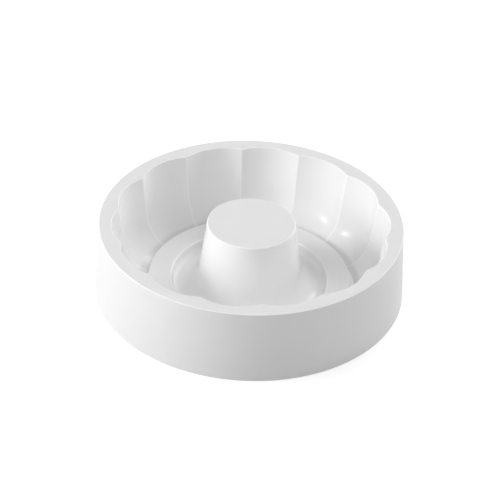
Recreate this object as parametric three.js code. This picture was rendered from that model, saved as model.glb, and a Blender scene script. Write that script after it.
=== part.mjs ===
// Ring-cake mould in white silicone: a fluted ring cavity with a centre core, hung from a flat rim inside a
// flared skirt. Millimetres, +Z up. The origin is the centre of the plane that the skirt stands on, and +X
// runs through a flute's crest. The mould is divided along its own edges into named rings. The ledge and
// the core are its base, which can be pressed up into the cavity from underneath, so it stops one seam
// short of the flutes.
import * as THREE from "three";

// Driving dimensions: the outside
const HEIGHT = 55.5; // table to the rim's top face
const RIM_DIAMETER = 220; // outside of the rim, at its top face
const SKIRT_FLARE = 3; // how much further out the skirt's foot stands than the rim
const SKIRT_WALL = 2.8;
const RIM_THICKNESS = 2.8;
const RIM_WIDTH = 9; // outside edge to a flute's crest
const RIM_EDGE = 0.6; // rounding of the rim's two top edges

// Driving dimensions: the fluted wall
const FLUTE_COUNT = 14;
const FLUTE_DEPTH = 4; // crest to cusp at the rim, along the radius
const WALL = 2.5; // silicone of the cavity's walls and core
const WALL_DRAFT = 8; // degrees off the vertical
const BOWL_RADIUS = 26; // the wall's curve down to the floor
const FOOT_SLOPE = 20; // degrees between that curve's foot and the level

// Driving dimensions: the base and the core
const STANDOFF = 0.2; // table to the underside of the base
const FLOOR = 1.4; // silicone under the groove and under the ledge's flat top
const LEDGE_HEIGHT = 6.5; // flat ledge above the bottom of the groove round the core
const LEDGE_DRAFT = 0.5; // how far the ledge's outer side leans in
const GUTTER_DEPTH = 6.2; // ledge's top down to the gutter round it
const GUTTER_WIDTH = 1; // gutter between the foot of a cusp and the ledge
const GROOVE_RADIUS = 1.2; // fillet from the bottom of the groove to the ledge's inner side
const GROOVE_SLOPE = 62; // degrees between that side and the level
const CAVITY_WIDTH = 65; // a cusp to the core, at the level of the rim and of the core's top
const CORE_DRAFT = 7.3; // degrees off the vertical
const CORE_EDGE = 1; // rounding of the core's top edge
const CAP = 2.5; // silicone of the core's top
const FLARE_RADIUS = 16; // curve from the core down to the groove
const FLARE_COLLAR = 2; // straight cone that the flare's ring keeps above its curve

// Finish
const WHITE = 0xe9e9e7;
const SATIN = 0.25; // roughness inside the cavity
const MATT = 0.5; // roughness of the rim, the skirt and the core's top

// Clearance and facets
const SEAM = 0.3; // between rings that meet on a round face
const FLUTE_STEPS = 6; // facets in one flute
const CURVE_STEPS = 6; // facets along a curved wall
const EDGE_STEPS = 2; // facets in a rounded edge
const AROUND = FLUTE_COUNT * FLUTE_STEPS;

// Levels and radii worked out from them
const radians = THREE.MathUtils.degToRad;
const rimRadius = RIM_DIAMETER / 2;
const rimUnderside = HEIGHT - RIM_THICKNESS;
const floorTop = STANDOFF + FLOOR;
const ledgeTop = floorTop + LEDGE_HEIGHT;
const gutterTop = ledgeTop - GUTTER_DEPTH;

const crestRadius = rimRadius - RIM_WIDTH;
const cuspRadius = crestRadius - FLUTE_DEPTH;
const halfFlute = Math.PI / FLUTE_COUNT;
const fluteRise = crestRadius - cuspRadius * Math.cos(halfFlute);
const fluteRadius = ((cuspRadius * Math.sin(halfFlute)) ** 2 + fluteRise ** 2) / (2 * fluteRise);

const wallDraft = radians(WALL_DRAFT);
const bowlEnd = radians(90 - FOOT_SLOPE);
const bowlTop = gutterTop + BOWL_RADIUS * (Math.sin(bowlEnd) - Math.sin(wallDraft));
const bowlCentre = {
  r: wallRadius(bowlTop) - BOWL_RADIUS * Math.cos(wallDraft),
  z: bowlTop + BOWL_RADIUS * Math.sin(wallDraft),
};
const footRadius = bowlCentre.r + BOWL_RADIUS * Math.cos(bowlEnd);

const coreDraft = radians(CORE_DRAFT);
const coreTopRadius = cuspRadius - CAVITY_WIDTH;
const capUnderside = HEIGHT - CAP;
const flareTangent = floorTop + FLARE_RADIUS * (1 - Math.sin(coreDraft));
const flareTop = flareTangent + FLARE_COLLAR;
const flareCentre = {
  r: coreRadius(flareTangent) + FLARE_RADIUS * Math.cos(coreDraft),
  z: floorTop + FLARE_RADIUS,
};

const grooveSlope = radians(GROOVE_SLOPE);
const grooveSeam = flareCentre.r;
const grooveCentre = { r: grooveSeam, z: floorTop + GROOVE_RADIUS };
const grooveSide = {
  r: grooveCentre.r + GROOVE_RADIUS * Math.sin(grooveSlope),
  z: grooveCentre.z - GROOVE_RADIUS * Math.cos(grooveSlope),
};
const ledgeOuter = footRadius - GUTTER_WIDTH;

// Outside radius of the skirt and rim at a height
function skirtRadius(z) {
  return rimRadius + (SKIRT_FLARE * (HEIGHT - z)) / HEIGHT;
}

// Radius of the cavity's straight wall at a height, along a cusp
function wallRadius(z) {
  return cuspRadius - Math.tan(wallDraft) * (HEIGHT - z);
}

// Radius of the core's cone at a height
function coreRadius(z) {
  return coreTopRadius + Math.tan(coreDraft) * (HEIGHT - z);
}

// Radius of the ledge's inner side at a height
function ledgeInner(z) {
  return grooveSide.r + (z - grooveSide.z) / Math.tan(grooveSlope);
}

// Radius, at an angle round Z, of a level section through the flutes, given the radius of its cusps. Every
// flute is a circular arc from cusp to cusp, and the arcs keep one radius all the way down.
function fluted(cusp, angle) {
  const fromCrest = angle - 2 * halfFlute * Math.round(angle / (2 * halfFlute));
  const halfChord = cusp * Math.sin(halfFlute);
  const centre = cusp * Math.cos(halfFlute) - Math.sqrt(fluteRadius ** 2 - halfChord ** 2);
  const across = centre * Math.sin(fromCrest);
  return centre * Math.cos(fromCrest) + Math.sqrt(fluteRadius ** 2 - across ** 2);
}

// Points of an arc, as [radius, height], from one angle to another; angle 0 points away from the axis
function arc(centre, radius, from, to, steps) {
  return Array.from({ length: steps + 1 }, (_, i) => {
    const angle = from + ((to - from) * i) / steps;
    return [centre.r + radius * Math.cos(angle), centre.z + radius * Math.sin(angle)];
  });
}

// A profile turned round Z. A point is [radius, height], or [radius, height, true] where it follows the
// flutes and its radius is a cusp's. The profile runs anticlockwise, and it closes on itself unless it is a
// disc's.
function turned(profile, disc = false) {
  const loop = disc ? profile : [...profile, profile[0]];
  const geometry = new THREE.LatheGeometry(loop.map(([r, z]) => new THREE.Vector2(r, z)), AROUND);
  const position = geometry.getAttribute("position");
  for (let step = 0; step <= AROUND; step++) {
    const angle = (step / AROUND) * 2 * Math.PI;
    loop.forEach(([r, z, follows], i) => {
      const radius = follows ? fluted(r, angle) : r;
      position.setXYZ(step * loop.length + i, radius * Math.cos(angle), radius * Math.sin(angle), z);
    });
  }
  return geometry;
}

// The same points, following the flutes
function withFlutes(points) {
  return points.map(([r, z]) => [r, z, true]);
}

// Flat rim: round outside, scalloped inside, resting on the skirt and the fluted wall
function rimProfile() {
  const outer = { r: skirtRadius(HEIGHT - RIM_EDGE) - RIM_EDGE, z: HEIGHT - RIM_EDGE };
  const inner = { r: wallRadius(HEIGHT - RIM_EDGE) + RIM_EDGE, z: HEIGHT - RIM_EDGE };
  return [
    [wallRadius(rimUnderside), rimUnderside, true],
    [skirtRadius(rimUnderside), rimUnderside],
    ...arc(outer, RIM_EDGE, 0, Math.PI / 2, EDGE_STEPS),
    ...withFlutes(arc(inner, RIM_EDGE, Math.PI / 2, Math.PI, EDGE_STEPS)),
  ];
}

// Flared skirt that the mould stands on
function skirtProfile() {
  return [
    [skirtRadius(0) - SKIRT_WALL, 0],
    [skirtRadius(0), 0],
    [skirtRadius(rimUnderside), rimUnderside],
    [skirtRadius(rimUnderside) - SKIRT_WALL, rimUnderside],
  ];
}

// Straight, drafted part of the fluted wall
function wallProfile() {
  const across = WALL / Math.cos(wallDraft);
  return withFlutes([
    [wallRadius(bowlTop), bowlTop],
    [wallRadius(bowlTop) + across, bowlTop],
    [wallRadius(rimUnderside) + across, rimUnderside],
    [wallRadius(rimUnderside), rimUnderside],
  ]);
}

// Curved foot of the fluted wall. Underneath it ends in a flat, where its curve would run below the base.
function bowlProfile() {
  const outerRadius = BOWL_RADIUS + WALL;
  const outerFoot = bowlCentre.z - Math.sqrt(outerRadius ** 2 - (footRadius - bowlCentre.r) ** 2);
  const outerEnd = Math.asin((bowlCentre.z - Math.max(outerFoot, STANDOFF)) / outerRadius);
  const flat = outerFoot < STANDOFF ? [[footRadius, STANDOFF]] : [];
  return withFlutes([
    ...flat,
    ...arc(bowlCentre, outerRadius, -outerEnd, -wallDraft, CURVE_STEPS),
    [wallRadius(bowlTop) + WALL / Math.cos(wallDraft), bowlTop],
    ...arc(bowlCentre, BOWL_RADIUS, -wallDraft, -bowlEnd, CURVE_STEPS),
  ]);
}

// Raised flat ledge, between the gutter at the flutes' feet and the groove round the core. It is hollow
// underneath where it is wide enough for two walls and a gap.
function ledgeProfile() {
  const lean = Math.min(LEDGE_DRAFT, (ledgeOuter - ledgeInner(ledgeTop)) / 2);
  const hollowTop = ledgeTop - FLOOR;
  const hollowOuter = ledgeOuter - WALL;
  const hollowInner = (z) => ledgeInner(z) + WALL / Math.sin(grooveSlope);
  const hollow = [
    [hollowInner(STANDOFF), STANDOFF],
    [hollowInner(hollowTop), hollowTop],
    [hollowOuter - lean, hollowTop],
    [hollowOuter, STANDOFF],
  ];
  const wideEnough = hollowOuter - lean - hollowInner(hollowTop) > WALL;
  const groove = arc(grooveCentre, GROOVE_RADIUS, grooveSlope - Math.PI / 2, -Math.PI / 2, EDGE_STEPS);
  return [
    [grooveSeam + SEAM / 2, STANDOFF],
    ...(wideEnough ? hollow : []),
    [footRadius - SEAM, STANDOFF, true],
    [footRadius - SEAM, gutterTop, true],
    [ledgeOuter, gutterTop],
    [ledgeOuter - lean, ledgeTop],
    [ledgeInner(ledgeTop), ledgeTop],
    ...groove.slice(0, -1),
    [grooveSeam + SEAM / 2, floorTop],
  ];
}

// Trumpet-shaped foot of the core
function flareProfile() {
  const underRadius = FLARE_RADIUS + WALL;
  const underStart = Math.asin((flareCentre.z - STANDOFF) / underRadius);
  const across = WALL / Math.cos(coreDraft);
  const rise = (radius, from) =>
    arc(flareCentre, radius, Math.PI + from, Math.PI + coreDraft, CURVE_STEPS);
  return [
    ...rise(underRadius, underStart).reverse(),
    [grooveSeam - SEAM / 2, STANDOFF],
    [grooveSeam - SEAM / 2, floorTop],
    ...rise(FLARE_RADIUS, Math.PI / 2).slice(1),
    [coreRadius(flareTop), flareTop],
    [coreRadius(flareTop) - across, flareTop],
  ];
}

// Conical side of the core
function coneProfile() {
  const across = WALL / Math.cos(coreDraft);
  return [
    [coreRadius(flareTop) - across, flareTop],
    [coreRadius(flareTop), flareTop],
    [coreRadius(capUnderside), capUnderside],
    [coreRadius(capUnderside) - across, capUnderside],
  ];
}

// Closed flat top of the core, a disc
function capProfile() {
  const edge = { r: coreRadius(HEIGHT - CORE_EDGE) - CORE_EDGE, z: HEIGHT - CORE_EDGE };
  return [
    [0, capUnderside],
    [coreRadius(capUnderside), capUnderside],
    ...arc(edge, CORE_EDGE, 0, Math.PI / 2, EDGE_STEPS),
    [0, HEIGHT],
  ];
}

// One ring in its own white silicone, as rough as its finish
function piece(name, geometry, roughness) {
  const silicone = new THREE.MeshStandardMaterial({ color: WHITE, roughness, metalness: 0 });
  const mesh = new THREE.Mesh(geometry, silicone);
  mesh.name = name;
  return mesh;
}

const shell = new THREE.Group();
shell.add(
  piece("top_rim", turned(rimProfile()), MATT),
  piece("outer_skirt", turned(skirtProfile()), MATT),
  piece("fluted_wall", turned(wallProfile()), SATIN),
  piece("bowl_ring", turned(bowlProfile()), SATIN),
);

const base = new THREE.Group();
base.add(
  piece("ledge_ring", turned(ledgeProfile()), SATIN),
  piece("core_flare", turned(flareProfile()), SATIN),
  piece("core_cone", turned(coneProfile()), SATIN),
  piece("core_cap", turned(capProfile(), true), MATT),
);

const mould = new THREE.Group();
mould.add(shell, base);

export default mould;
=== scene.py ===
"""Looks of a white silicone ring-cake mould, built round its CAD frame, in metres.

The mould is one moulding, so every piece here is a finer, rounded version of a CAD ring, or of two for the
fluted wall, and meets its neighbours along the CAD's seams. The fluted wall, between the shell and the
base, is baked in place and rides on no body.
"""

import math

import bpy
from mathutils import Matrix, Vector


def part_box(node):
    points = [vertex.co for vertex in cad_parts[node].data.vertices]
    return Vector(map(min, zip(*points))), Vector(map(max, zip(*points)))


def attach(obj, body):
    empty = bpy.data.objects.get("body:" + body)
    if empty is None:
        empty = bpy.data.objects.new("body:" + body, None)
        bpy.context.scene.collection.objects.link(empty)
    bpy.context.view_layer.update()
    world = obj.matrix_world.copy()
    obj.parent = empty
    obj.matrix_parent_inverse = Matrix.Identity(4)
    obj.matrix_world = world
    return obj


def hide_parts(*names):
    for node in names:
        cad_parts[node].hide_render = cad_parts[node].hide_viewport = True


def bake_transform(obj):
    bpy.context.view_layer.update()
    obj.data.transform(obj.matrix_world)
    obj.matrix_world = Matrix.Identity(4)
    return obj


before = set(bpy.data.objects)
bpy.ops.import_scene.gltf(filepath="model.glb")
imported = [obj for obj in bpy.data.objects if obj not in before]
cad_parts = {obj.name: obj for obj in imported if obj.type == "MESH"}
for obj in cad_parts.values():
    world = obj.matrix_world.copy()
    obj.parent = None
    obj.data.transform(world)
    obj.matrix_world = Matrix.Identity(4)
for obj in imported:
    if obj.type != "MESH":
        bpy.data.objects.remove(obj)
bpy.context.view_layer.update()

# Sizes that the frame gives
rim_low, rim_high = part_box("top_rim")
HEIGHT = rim_high.z
RIM_UNDERSIDE = rim_low.z
SKIRT_FOOT_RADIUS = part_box("outer_skirt")[1].x
STANDOFF, BOWL_TOP = (corner.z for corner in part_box("bowl_ring"))
LEDGE_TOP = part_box("ledge_ring")[1].z
FLARE_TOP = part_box("core_flare")[1].z
CAP_UNDERSIDE, CORE_TOP = (corner.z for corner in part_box("core_cap"))
CAP_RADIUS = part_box("core_cap")[1].x

# Sizes that the frame holds only in its shapes
SKIRT_FLARE = 0.003
SKIRT_WALL = 0.0028
RIM_WIDTH = 0.009
FLUTE_COUNT = 14
FLUTE_DEPTH = 0.004
WALL = 0.0025
WALL_DRAFT = math.radians(8)
BOWL_RADIUS = 0.026
BOWL_END = math.radians(70)
CAVITY_FLOOR = 0.0014
LEDGE_DRAFT = 0.0005
GUTTER_WIDTH = 0.001
CORE_DRAFT = math.radians(7.3)
FLARE_RADIUS = 0.016

# The groove round the core, a wider curve than the CAD's between the same two edges
GROOVE_RADIUS = 0.003
GROOVE_SLOPE = math.radians(73.3)

# Roundings of the moulded edges
CUSP_ROUNDING = 0.0002
RIM_EDGE = 0.0006
FOOT_EDGE = 0.0006
CORE_EDGE = 0.001
LEDGE_EDGE = 0.0012
HOLLOW_FILLET = 0.0005

# Colour: rounded edges are painted lighter, a painted highlight, and the crease round the ledge is painted
# darker, a painted shade
# The cavity's satin tone is lighter than the outside's matt one, a painted difference in light on one
# silicone
SATIN_TONE = 0.85
MATT_TONE = 0.735
# Tone of the painted highlight on rounded edges and cusps
EDGE_HIGHLIGHT_TONE = 0.93
# Tone of the painted shade deep in the crease, which grows as the ledge's edge rises over a point
CREASE_SHADE_TONE = 0.72
CUSP_LIGHT_WIDTH = 0.0009
CREASE_START = math.radians(24)
CREASE_FULL = math.radians(44)

# Finish: the cavity and the core's side are satin, and the rim, the skirt and the core's top are matt
SATIN_ROUGHNESS = 0.18
MATT_ROUGHNESS = 0.66
ROUGHNESS_SPREAD = 0.03
SATIN_GRAIN = 0.02
MATT_GRAIN = 0.22
GRAIN_DEPTH = 0.00003
PEEL = 0.25
PEEL_DEPTH = 0.00002
CLOUD = 0.03
SILICONE_IOR = 1.41
STEEP_NORMAL = 0.7

# Noises in the silicone: scale per metre, detail and roughness, and the range that most of a noise keeps to
CLOUD_NOISE = (38, 3, 0.5)
ROUGHNESS_NOISE = (120, 4, 0.6)
PEEL_NOISE = (260, 2, 0.4)
GRAIN_NOISE = (2400, 2, 0.6)
NOISE_LOW = 0.3
NOISE_HIGH = 0.7

# Fineness of the meshes
HALF_FLUTE_STEPS = 16
CURVE_STEPS = 28
WALL_ROWS = 14
EDGE_STEPS = 6
EDGE_SUPPORT = 0.0003
SUPPORTED_LENGTH = 4 * EDGE_SUPPORT
SHARP_ANGLE = math.radians(40)

# The photograph's view
CAMERA_AZIMUTH = math.radians(-5.70)
CAMERA_ELEVATION = math.radians(35.47)
CAMERA_ROLL = math.radians(2.40)
CAMERA_DISTANCE = 1.65
CAMERA_OFFSET = (-0.00099, -0.01945)
CAMERA_LENS = 164.7
CAMERA_REACH = 100

# Lamps: azimuth and elevation in degrees, width in metres, power in watts
LAMP_DISTANCE = 1.5
SPOTS = {
    "left_spot": (181, 29, 0.25, 2.6),
    "back_spot": (56, 34, 0.35, 2),
}
SOFTBOXES = {
    "left": (180, 12, 0.9, 9.8),
    "left_high": (181, 29, 0.4, 3.3),
    "front_left": (202, 28, 0.9, 7.5),
    "front": (270, 45, 0.35, 5.1),
    "side": (315, 28, 0.9, 2.3),
    "right": (0, 12, 0.9, 7.6),
    "back_right": (45, 28, 0.9, 11.4),
    "back": (90, 64, 0.35, 3.4),
}

# The studio's floor, which glows to white where it is seen: less near the mould, whose shadow shows there
FLOOR_SIZE = 8
FLOOR_DROP = 0.0001
FLOOR_TONE_FOR_LIGHT = 0.7
FLOOR_TONE_SEEN = 0.5
FLOOR_GLOW = 0.62
SHADOW_REACH = 0.3
PLAIN_WHITE_FROM = 1.0

# Radii and levels worked out from the sizes of the mould
RIM_RADIUS = SKIRT_FOOT_RADIUS - SKIRT_FLARE
CREST_RADIUS = RIM_RADIUS - RIM_WIDTH
CUSP_RADIUS = CREST_RADIUS - FLUTE_DEPTH
CAVITY_FLOOR_TOP = STANDOFF + CAVITY_FLOOR
HALF_FLUTE = math.pi / FLUTE_COUNT
FLUTE_RISE = CREST_RADIUS - CUSP_RADIUS * math.cos(HALF_FLUTE)
FLUTE_RADIUS = ((CUSP_RADIUS * math.sin(HALF_FLUTE)) ** 2 + FLUTE_RISE**2) / (2 * FLUTE_RISE)


def skirt_radius(z):
    """Outside radius of the skirt and rim at a height."""
    return RIM_RADIUS + SKIRT_FLARE * (HEIGHT - z) / HEIGHT


def wall_radius(z):
    """Radius of the straight cavity wall at a height, along a cusp."""
    return CUSP_RADIUS - math.tan(WALL_DRAFT) * (HEIGHT - z)


def core_radius(z):
    """Radius of the core's cone at a height."""
    return CAP_RADIUS + math.tan(CORE_DRAFT) * (CAP_UNDERSIDE - z)


BOWL_CENTRE = (
    wall_radius(BOWL_TOP) - BOWL_RADIUS * math.cos(WALL_DRAFT),
    BOWL_TOP + BOWL_RADIUS * math.sin(WALL_DRAFT),
)
WALL_FOOT = BOWL_CENTRE[0] + BOWL_RADIUS * math.cos(BOWL_END)
GUTTER_TOP = BOWL_CENTRE[1] - BOWL_RADIUS * math.sin(BOWL_END)
LEDGE_OUTER = WALL_FOOT - GUTTER_WIDTH
FLARE_TANGENT = CAVITY_FLOOR_TOP + FLARE_RADIUS * (1 - math.sin(CORE_DRAFT))
FLARE_CENTRE = (
    core_radius(FLARE_TANGENT) + FLARE_RADIUS * math.cos(CORE_DRAFT),
    CAVITY_FLOOR_TOP + FLARE_RADIUS,
)
GROOVE_CENTRE = (FLARE_CENTRE[0], CAVITY_FLOOR_TOP + GROOVE_RADIUS)


def ledge_inner(z):
    """Radius of the ledge's inner side at a height."""
    fillet_end = GROOVE_CENTRE[1] - GROOVE_RADIUS * math.cos(GROOVE_SLOPE)
    foot = GROOVE_CENTRE[0] + GROOVE_RADIUS * math.sin(GROOVE_SLOPE)
    return foot + (z - fillet_end) / math.tan(GROOVE_SLOPE)


# Shapes

def from_crest(angle):
    """Angle between a direction round Z and the crest of its flute."""
    return abs(angle - 2 * HALF_FLUTE * round(angle / (2 * HALF_FLUTE)))


def flute_arc(cusp, off_crest):
    """Radius of one flute, an arc between two cusps, at an angle from its crest."""
    half_chord = cusp * math.sin(HALF_FLUTE)
    centre = cusp * math.cos(HALF_FLUTE) - math.sqrt(FLUTE_RADIUS**2 - half_chord**2)
    across = centre * math.sin(off_crest)
    return centre * math.cos(off_crest) + math.sqrt(FLUTE_RADIUS**2 - across**2)


def fluted(cusp, angle):
    """Radius of the fluted wall at an angle round Z, with the cusp between two flutes rounded off."""
    own = flute_arc(cusp, from_crest(angle))
    beside = flute_arc(cusp, 2 * HALF_FLUTE - from_crest(angle))
    return (own + beside + math.hypot(own - beside, 2 * CUSP_ROUNDING)) / 2


def cusp_highlight(radius, angle):
    """Painted highlight along a cusp: 1 on the cusp, falling to 0 a short way to either side of it."""
    return max(0, 1 - radius * (HALF_FLUTE - from_crest(angle)) / CUSP_LIGHT_WIDTH)


def crease(radius, z):
    """How much painted shade a point of the bowl takes in the crease, from 0 to 1, by the ledge's rise over
    it.
    """
    over = math.atan2(LEDGE_TOP - z, radius - LEDGE_OUTER)
    return min(1, max(0, (over - CREASE_START) / (CREASE_FULL - CREASE_START)))


def turning_angles():
    """Angles of the meshes' columns, closer together towards the cusps."""
    angles = []
    for flute in range(FLUTE_COUNT):
        for step in range(2 * HALF_FLUTE_STEPS):
            share = math.sin(math.pi / 2 * (step / HALF_FLUTE_STEPS - 1))
            angles.append(HALF_FLUTE * (2 * flute + share))
    return angles


ANGLES = turning_angles()


def arc(centre, radius, start, end, steps):
    """Points (r, z) of an arc. Angle 0 points away from the axis."""
    angles = [start + (end - start) * i / steps for i in range(steps + 1)]
    return [(centre[0] + radius * math.cos(a), centre[1] + radius * math.sin(a)) for a in angles]


def smooth(points, flutes, shade=0):
    """Outline (r, z, flutes, shade) of points (r, z) that are on no rounded edge."""
    return [(r, z, flutes, shade) for r, z in points]


def rounded(corners, closed=True):
    """Outline (r, z, flutes, shade) through corners (r, z, rounding, flutes), some of them rounded.

    The shade, a painted highlight, rises to 1 in the middle of an outward edge and is 0 elsewhere, also
    round a hollow corner.
    """
    outline = []
    for i, (r, z, rounding, flutes) in enumerate(corners):
        if rounding == 0:
            outline.append((r, z, flutes, 0))
            continue
        here = Vector((r, z))
        before = (Vector(corners[i - 1][:2]) - here).normalized()
        after = (Vector(corners[(i + 1) % len(corners)][:2]) - here).normalized()
        half = before.angle(after) / 2
        centre = here + (before + after).normalized() * rounding / math.sin(half)
        first = here + before * rounding / math.tan(half) - centre
        turn = first.angle_signed(here + after * rounding / math.tan(half) - centre)
        for step in range(EDGE_STEPS + 1):
            point = centre + Matrix.Rotation(-turn * step / EDGE_STEPS, 2) @ first
            shade = math.sin(math.pi * step / EDGE_STEPS) if turn < 0 else 0
            outline.append((point.x, point.y, flutes, shade))
    return supported(outline, closed)


def supported(outline, closed):
    """The outline with a point close to each end of its straight stretches, for an even shading."""
    points = []
    for i, here in enumerate(outline):
        points.append(here)
        if i + 1 == len(outline) and not closed:
            break
        there = outline[(i + 1) % len(outline)]
        length = math.hypot(there[0] - here[0], there[1] - here[1])
        if length > SUPPORTED_LENGTH:
            share = EDGE_SUPPORT / length
            for s in (share, 1 - share):
                points.append(tuple(a + (b - a) * s for a, b in zip(here, there)))
    return points


def turned(name, outline):
    """A closed mesh turned round Z from an outline that is closed, or starts and ends on the axis.

    Its attribute "shade" paints light and shade: 1, a painted highlight, along rounded edges and cusps, and
    -1, a painted shade, deep in the crease. A cusp's painted highlight ends below the rim's rounded edge.
    """
    ring = [p for p in outline if p[0] > 0]
    poles = [p for p in outline if p[0] == 0]
    vertices = []
    shades = []
    for angle in ANGLES:
        for r, z, flutes, shade in ring:
            radius = r + flutes * (fluted(r, angle) - r)
            vertices.append((radius * math.cos(angle), radius * math.sin(angle), z))
            # Painted highlight along the cusps, and painted shade in the crease on the inside
            cusp_light = flutes * cusp_highlight(radius, angle) if z < HEIGHT - RIM_EDGE else 0
            shades.append(shade * crease(radius, z) + cusp_light if shade < 0 else max(shade, cusp_light))
    count, around = len(ring), len(ANGLES)
    rows = count - 1 if poles else count
    faces = []
    for i in range(around):
        here, there = i * count, (i + 1) % around * count
        for j in range(rows):
            k = (j + 1) % count
            faces.append((here + j, there + j, there + k, here + k))
        if poles:
            faces.append((here, len(vertices), there))
            faces.append((there + count - 1, len(vertices) + 1, here + count - 1))
    for _, z, _, shade in poles:
        vertices.append((0, 0, z))
        shades.append(shade)
    mesh = bpy.data.meshes.new(name)
    mesh.from_pydata(vertices, [], faces)
    mesh.attributes.new("shade", "FLOAT", "POINT").data.foreach_set("value", shades)
    mesh.shade_smooth()
    mesh.set_sharp_from_angle(angle=SHARP_ANGLE)
    piece = bpy.data.objects.new(name, mesh)
    bpy.context.scene.collection.objects.link(piece)
    return piece


def rim_outline():
    """Flat rim, round outside and scalloped inside."""
    return rounded([
        (wall_radius(RIM_UNDERSIDE), RIM_UNDERSIDE, 0, 1),
        (skirt_radius(RIM_UNDERSIDE), RIM_UNDERSIDE, 0, 0),
        (skirt_radius(HEIGHT), HEIGHT, RIM_EDGE, 0),
        (wall_radius(HEIGHT), HEIGHT, RIM_EDGE, 1),
    ])


def skirt_outline():
    """Flared skirt with a softened foot."""
    return rounded([
        (skirt_radius(0) - SKIRT_WALL, 0, FOOT_EDGE, 0),
        (skirt_radius(0), 0, FOOT_EDGE, 0),
        (skirt_radius(RIM_UNDERSIDE), RIM_UNDERSIDE, 0, 0),
        (skirt_radius(RIM_UNDERSIDE) - SKIRT_WALL, RIM_UNDERSIDE, 0, 0),
    ])


def wall_outline():
    """Fluted wall and its curved foot, from the rim's underside to the gutter."""
    across = WALL / math.cos(WALL_DRAFT)
    outer = BOWL_RADIUS + WALL
    outer_end = math.asin((BOWL_CENTRE[1] - STANDOFF) / outer)
    heights = [BOWL_TOP + (RIM_UNDERSIDE - BOWL_TOP) * i / WALL_ROWS for i in range(1, WALL_ROWS + 1)]
    outside = arc(BOWL_CENTRE, outer, -outer_end, -WALL_DRAFT, CURVE_STEPS)
    outside += [(wall_radius(z) + across, z) for z in heights]
    inside = arc(BOWL_CENTRE, BOWL_RADIUS, -BOWL_END, -WALL_DRAFT, CURVE_STEPS)
    inside += [(wall_radius(z), z) for z in heights]
    outline = smooth([(WALL_FOOT, STANDOFF), *outside], flutes=1)
    # The inside of the wall takes the painted shade of the crease
    return outline + smooth(reversed(inside), flutes=1, shade=-1)


def ledge_outline():
    """Raised flat ledge between the gutter and the groove, hollow underneath."""
    under = LEDGE_TOP - CAVITY_FLOOR
    hollow_outer = LEDGE_OUTER - WALL
    leg = WALL / math.sin(GROOVE_SLOPE)
    groove = arc(GROOVE_CENTRE, GROOVE_RADIUS, GROOVE_SLOPE - math.pi / 2, -math.pi / 2, EDGE_STEPS)
    return rounded([
        (GROOVE_CENTRE[0], STANDOFF, 0, 0),
        (ledge_inner(STANDOFF) + leg, STANDOFF, HOLLOW_FILLET, 0),
        (ledge_inner(under) + leg, under, HOLLOW_FILLET, 0),
        (hollow_outer - LEDGE_DRAFT, under, HOLLOW_FILLET, 0),
        (hollow_outer, STANDOFF, HOLLOW_FILLET, 0),
        (WALL_FOOT, STANDOFF, 0, 1),
        (WALL_FOOT, GUTTER_TOP, 0, 1),
        (LEDGE_OUTER, GUTTER_TOP, 0, 0),
        (LEDGE_OUTER - LEDGE_DRAFT, LEDGE_TOP, LEDGE_EDGE, 0),
        (ledge_inner(LEDGE_TOP), LEDGE_TOP, LEDGE_EDGE, 0),
        *[(r, z, 0, 0) for r, z in groove],
    ])


def flare_outline():
    """Trumpet-shaped foot of the core."""
    across = WALL / math.cos(CORE_DRAFT)
    under = FLARE_RADIUS + WALL
    under_start = math.asin((FLARE_CENTRE[1] - STANDOFF) / under)
    low = arc(FLARE_CENTRE, under, math.pi + CORE_DRAFT, math.pi + under_start, CURVE_STEPS)
    high = arc(FLARE_CENTRE, FLARE_RADIUS, math.pi * 1.5, math.pi + CORE_DRAFT, CURVE_STEPS)
    top = [(core_radius(FLARE_TOP), FLARE_TOP), (core_radius(FLARE_TOP) - across, FLARE_TOP)]
    return smooth([*low, (GROOVE_CENTRE[0], STANDOFF), *high, *top], flutes=0)


def cone_outline():
    """Conical side of the core."""
    across = WALL / math.cos(CORE_DRAFT)
    return rounded([
        (core_radius(FLARE_TOP) - across, FLARE_TOP, 0, 0),
        (core_radius(FLARE_TOP), FLARE_TOP, 0, 0),
        (core_radius(CAP_UNDERSIDE), CAP_UNDERSIDE, 0, 0),
        (core_radius(CAP_UNDERSIDE) - across, CAP_UNDERSIDE, 0, 0),
    ])


def cap_outline():
    """Closed flat top of the core, a disc."""
    return rounded([
        (0, CAP_UNDERSIDE, 0, 0),
        (core_radius(CAP_UNDERSIDE), CAP_UNDERSIDE, 0, 0),
        (core_radius(CORE_TOP), CORE_TOP, CORE_EDGE, 0),
        (0, CORE_TOP, 0, 0),
    ], closed=False)


# Materials

def node(tree, kind, **inputs):
    """A shader node with some inputs set to a value or to another node's output.

    Each is given by its name, with an underscore for a space.
    """
    made = tree.nodes.new(kind)
    for name, value in inputs.items():
        socket = made.inputs[name.replace("_", " ")]
        if isinstance(value, bpy.types.NodeSocket):
            tree.links.new(value, socket)
        else:
            socket.default_value = value
    return made


def grey(tone):
    """Opaque grey of a tone between 0 and 1."""
    return (tone, tone, tone, 1)


def new_material(name):
    """An empty node material and its tree."""
    material = bpy.data.materials.new(name)
    material.use_nodes = True
    material.node_tree.nodes.clear()
    return material, material.node_tree


def noise(tree, scale, detail, roughness):
    """Noise that is fixed to the mould."""
    place = node(tree, "ShaderNodeTexCoord").outputs["Object"]
    made = node(tree, "ShaderNodeTexNoise", Vector=place, Scale=scale, Detail=detail, Roughness=roughness)
    return made.outputs["Fac"]


def ranged(tree, value, low, high):
    """A noise value spread over a range."""
    made = node(tree, "ShaderNodeMapRange", Value=value, From_Min=NOISE_LOW, From_Max=NOISE_HIGH,
                To_Min=low, To_Max=high)
    return made.outputs["Result"]


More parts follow.
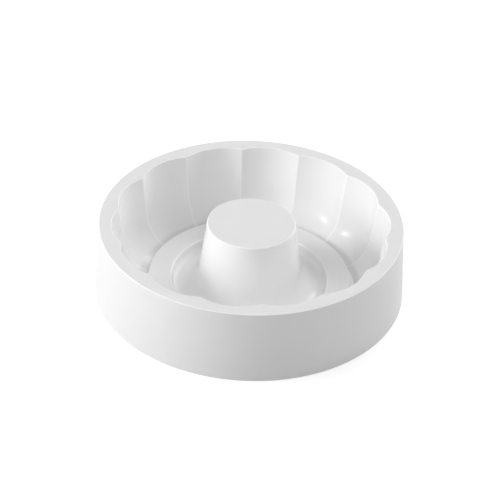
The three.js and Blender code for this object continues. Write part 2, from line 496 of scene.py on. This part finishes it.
def silicone(name, tone, roughness, grain):
    """White silicone: cloudy in colour and uneven in shine, with a fine grain over a slight orange peel.

    The mesh's shade paints a highlight along the edges and cusps and paints shade in the crease.
    """
    material, tree = new_material(name)
    shade = node(tree, "ShaderNodeAttribute")
    shade.attribute_name = "shade"
    level = node(tree, "ShaderNodeMapRange", Value=shade.outputs["Fac"], From_Min=-1, From_Max=1)
    cloud = tree.nodes.new("ShaderNodeMath")
    tree.links.new(level.outputs["Result"], cloud.inputs[0])
    tree.links.new(ranged(tree, noise(tree, *CLOUD_NOISE), -CLOUD, CLOUD), cloud.inputs[1])
    # The ramp runs from the painted shade of the crease through the plain tone to the painted highlight of
    # the edges
    tint = node(tree, "ShaderNodeValToRGB", Fac=cloud.outputs["Value"])
    halfway = 0.5
    tint.color_ramp.elements.new(halfway)
    for element, value in zip(tint.color_ramp.elements, (CREASE_SHADE_TONE, tone, EDGE_HIGHLIGHT_TONE)):
        element.color = grey(value)
    peel = node(
        tree, "ShaderNodeBump", Height=noise(tree, *PEEL_NOISE), Strength=PEEL, Distance=PEEL_DEPTH,
    )
    pores = node(
        tree, "ShaderNodeBump", Height=noise(tree, *GRAIN_NOISE), Strength=grain, Distance=GRAIN_DEPTH,
        Normal=peel.outputs["Normal"],
    )
    smoothest, roughest = roughness - ROUGHNESS_SPREAD, roughness + ROUGHNESS_SPREAD
    shader = node(
        tree, "ShaderNodeBsdfPrincipled", Base_Color=tint.outputs["Color"], IOR=SILICONE_IOR,
        Roughness=ranged(tree, noise(tree, *ROUGHNESS_NOISE), smoothest, roughest),
        Normal=pores.outputs["Normal"],
    )
    node(tree, "ShaderNodeOutputMaterial", Surface=shader.outputs["BSDF"])
    return material


def is_seen(tree):
    """1 where a surface is seen, also in a reflection or through something, and 0 where it gives light."""
    path = node(tree, "ShaderNodeLightPath")
    total = path.outputs["Is Camera Ray"]
    for other in ("Is Glossy Ray", "Is Transmission Ray"):
        made = tree.nodes.new("ShaderNodeMath")
        made.operation = "MAXIMUM"
        tree.links.new(total, made.inputs[0])
        tree.links.new(path.outputs[other], made.inputs[1])
        total = made.outputs["Value"]
    return total


def floor_material():
    """White paper: plain for light, and lifted to white where it is seen, with the mould's shadow kept."""
    material, tree = new_material("white_floor")
    paper = node(tree, "ShaderNodeBsdfDiffuse", Color=grey(FLOOR_TONE_FOR_LIGHT))
    shade = node(tree, "ShaderNodeBsdfDiffuse", Color=grey(FLOOR_TONE_SEEN))
    away = tree.nodes.new("ShaderNodeVectorMath")
    away.operation = "LENGTH"
    tree.links.new(node(tree, "ShaderNodeTexCoord").outputs["Object"], away.inputs[0])
    lift = node(tree, "ShaderNodeMapRange", Value=away.outputs["Value"], From_Min=SHADOW_REACH,
                From_Max=PLAIN_WHITE_FROM, To_Min=FLOOR_GLOW, To_Max=1)
    glow = node(tree, "ShaderNodeEmission", Color=grey(1), Strength=lift.outputs["Result"])
    shown = tree.nodes.new("ShaderNodeAddShader")
    tree.links.new(shade.outputs["BSDF"], shown.inputs[0])
    tree.links.new(glow.outputs["Emission"], shown.inputs[1])
    choice = node(tree, "ShaderNodeMixShader", Fac=is_seen(tree))
    tree.links.new(paper.outputs["BSDF"], choice.inputs[1])
    tree.links.new(shown.outputs["Shader"], choice.inputs[2])
    node(tree, "ShaderNodeOutputMaterial", Surface=choice.outputs["Shader"])
    return material


# Pieces

def faces_cavity(face):
    """Whether a face is on the rim's upright inside or the core's side, as smooth as the cavity."""
    return abs(face.normal.z) < STEEP_NORMAL and math.hypot(*face.center.xy) < CREST_RADIUS + WALL


def add_pieces():
    """Each finer piece in place of its CAD rings, riding on the same body, and the fluted wall on none."""
    satin = silicone("silicone_satin", SATIN_TONE, SATIN_ROUGHNESS, SATIN_GRAIN)
    matt = silicone("silicone_matt", MATT_TONE, MATT_ROUGHNESS, MATT_GRAIN)
    rows = [
        ("mould_rim", rim_outline(), matt, "shell", ["top_rim"]),
        ("mould_skirt", skirt_outline(), matt, "shell", ["outer_skirt"]),
        ("mould_floor", ledge_outline(), satin, "base", ["ledge_ring"]),
        ("mould_core_flare", flare_outline(), satin, "base", ["core_flare"]),
        ("mould_core_side", cone_outline(), satin, "base", ["core_cone"]),
        ("mould_core_top", cap_outline(), matt, "base", ["core_cap"]),
        ("mould_fluted_wall", wall_outline(), satin, None, ["fluted_wall", "bowl_ring"]),
    ]
    for name, outline, material, body, nodes in rows:
        piece = turned(name, outline)
        piece.data.materials.append(material)
        piece.data.materials.append(satin)
        for face in piece.data.polygons:
            face.material_index = int(faces_cavity(face))
        if body:
            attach(piece, body)
        else:
            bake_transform(piece)
        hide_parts(*nodes)


# Stage

def add_floor():
    """The studio's level floor, just under the mould."""
    signs = [(-1, -1), (1, -1), (1, 1), (-1, 1)]
    corners = [(x * FLOOR_SIZE, y * FLOOR_SIZE, -FLOOR_DROP) for x, y in signs]
    mesh = bpy.data.meshes.new("floor")
    mesh.from_pydata(corners, [], [(0, 1, 2, 3)])
    mesh.materials.append(floor_material())
    floor = bpy.data.objects.new("floor", mesh)
    bpy.context.scene.collection.objects.link(floor)


def add_lamp(name, azimuth, elevation, width, power, mirrored):
    """A square lamp that faces the mould, which mirrors it or only takes its light."""
    data = bpy.data.lights.new(name, "AREA")
    data.shape = "SQUARE"
    data.size = width
    data.energy = power
    lamp = bpy.data.objects.new(name, data)
    lamp.visible_glossy = mirrored
    turn = (
        Matrix.Rotation(math.radians(azimuth + 90), 4, "Z")
        @ Matrix.Rotation(math.radians(90 - elevation), 4, "X")
    )
    lamp.matrix_world = (
        Matrix.Translation((0, 0, HEIGHT / 2)) @ turn @ Matrix.Translation((0, 0, LAMP_DISTANCE))
    )
    bpy.context.scene.collection.objects.link(lamp)


def add_lamps():
    """Two spots that show as glints in the mould, and softboxes that merge with the white room round it."""
    for name, lamp in SPOTS.items():
        add_lamp(name, *lamp, mirrored=True)
    for name, lamp in SOFTBOXES.items():
        add_lamp(name, *lamp, mirrored=False)


def add_world():
    """A room that is white where it is seen and gives no light."""
    world = bpy.data.worlds.new("studio")
    bpy.context.scene.world = world
    world.use_nodes = True
    tree = world.node_tree
    tree.nodes.clear()
    dark = node(tree, "ShaderNodeBackground", Color=grey(0), Strength=1)
    white = node(tree, "ShaderNodeBackground", Color=grey(1), Strength=1)
    choice = node(tree, "ShaderNodeMixShader", Fac=is_seen(tree))
    tree.links.new(dark.outputs["Background"], choice.inputs[1])
    tree.links.new(white.outputs["Background"], choice.inputs[2])
    node(tree, "ShaderNodeOutputWorld", Surface=choice.outputs["Shader"])


def add_camera():
    """The photograph's camera, turned and shifted about the centre of the rim."""
    data = bpy.data.cameras.new("camera")
    data.lens = CAMERA_LENS
    data.clip_end = CAMERA_REACH
    camera = bpy.data.objects.new("camera", data)
    turn = (
        Matrix.Rotation(CAMERA_AZIMUTH, 4, "Z")
        @ Matrix.Rotation(math.pi / 2 - CAMERA_ELEVATION, 4, "X")
        @ Matrix.Rotation(CAMERA_ROLL, 4, "Z")
    )
    offset = Matrix.Translation((*CAMERA_OFFSET, CAMERA_DISTANCE))
    camera.matrix_world = Matrix.Translation((0, 0, HEIGHT)) @ turn @ offset
    bpy.context.scene.collection.objects.link(camera)
    bpy.context.scene.camera = camera


add_camera()
add_pieces()
add_floor()
add_lamps()
add_world()
bpy.context.scene.view_settings.view_transform = "Standard"
